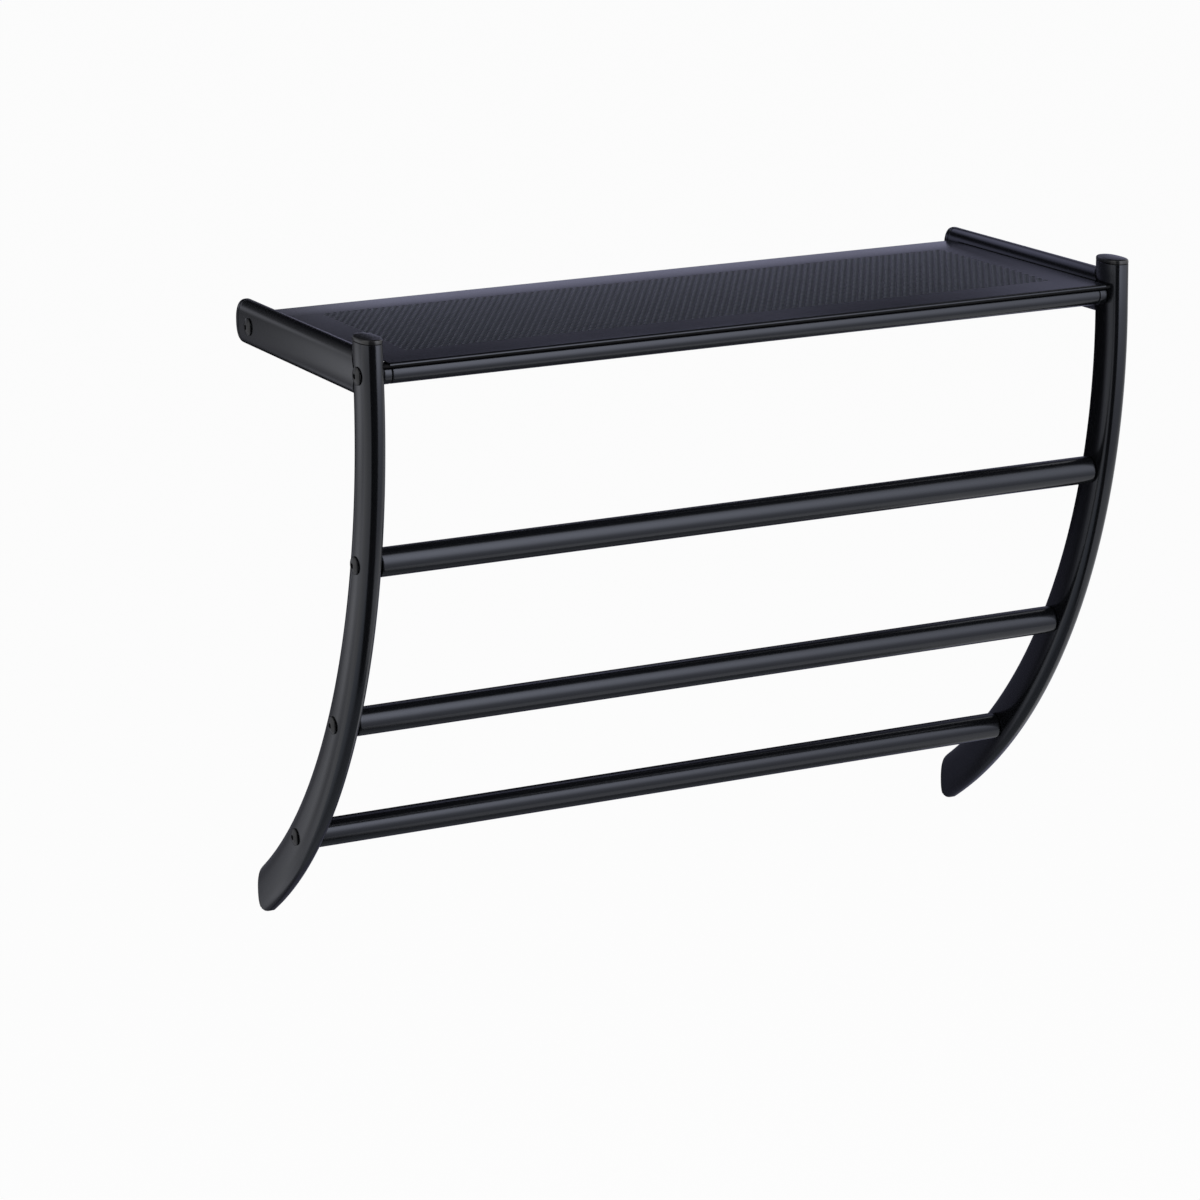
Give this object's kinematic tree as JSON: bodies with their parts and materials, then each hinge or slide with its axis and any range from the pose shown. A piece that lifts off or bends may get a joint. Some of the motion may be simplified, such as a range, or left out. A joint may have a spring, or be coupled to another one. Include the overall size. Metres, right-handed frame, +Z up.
{
  "type": "towel rack with shelf",
  "caption": "Wall-hung towel rack: a perforated shelf between two arms, and round towel bars below it between bent side frames.",
  "frame": {"origin": "on the wall plane, midway between the two side arms, at the arms' centre height", "axes": "+X to the viewer's right, -Y out of the wall to the front, +Z up; the wall is the plane Y = 0"},
  "size_m": [0.5648, 0.23, 0.44],
  "materials": {
    "paint": "satin",
    "plastic": "satin",
    "screw": "satin"
  },
  "bodies": {
    "root": {"left_arm_tenon": "paint", "left_bracket_screw": "screw", "left_foot_plug": "plastic", "left_lower_bar_screw": "screw", "left_middle_bar_screw": "screw", "left_rail_collar": "paint", "left_shelf_bar_screw": "screw", "left_side_arm": "paint", "left_top_cap": "plastic", "left_upper_bar_screw": "screw", "left_upright": "paint", "left_wall_bracket": "paint", "lower_towel_bar": "paint", "lower_towel_bar_left_plug": "plastic", "lower_towel_bar_right_plug": "plastic", "middle_towel_bar": "paint", "middle_towel_bar_left_plug": "plastic", "middle_towel_bar_right_plug": "plastic", "right_arm_tenon": "paint", "right_bracket_screw": "screw", "right_foot_plug": "plastic", "right_lower_bar_screw": "screw", "right_middle_bar_screw": "screw", "right_rail_collar": "paint", "right_shelf_bar_screw": "screw", "right_side_arm": "paint", "right_top_cap": "plastic", "right_upper_bar_screw": "screw", "right_upright": "paint", "right_wall_bracket": "paint", "shelf_front_rod": "paint", "shelf_panel": "paint", "shelf_rail": "paint", "shelf_rail_left_plug": "plastic", "shelf_rail_right_plug": "plastic", "shelf_rear_rod": "paint", "upper_towel_bar": "paint", "upper_towel_bar_left_plug": "plastic", "upper_towel_bar_right_plug": "plastic"}
  },
  "joints": []
}
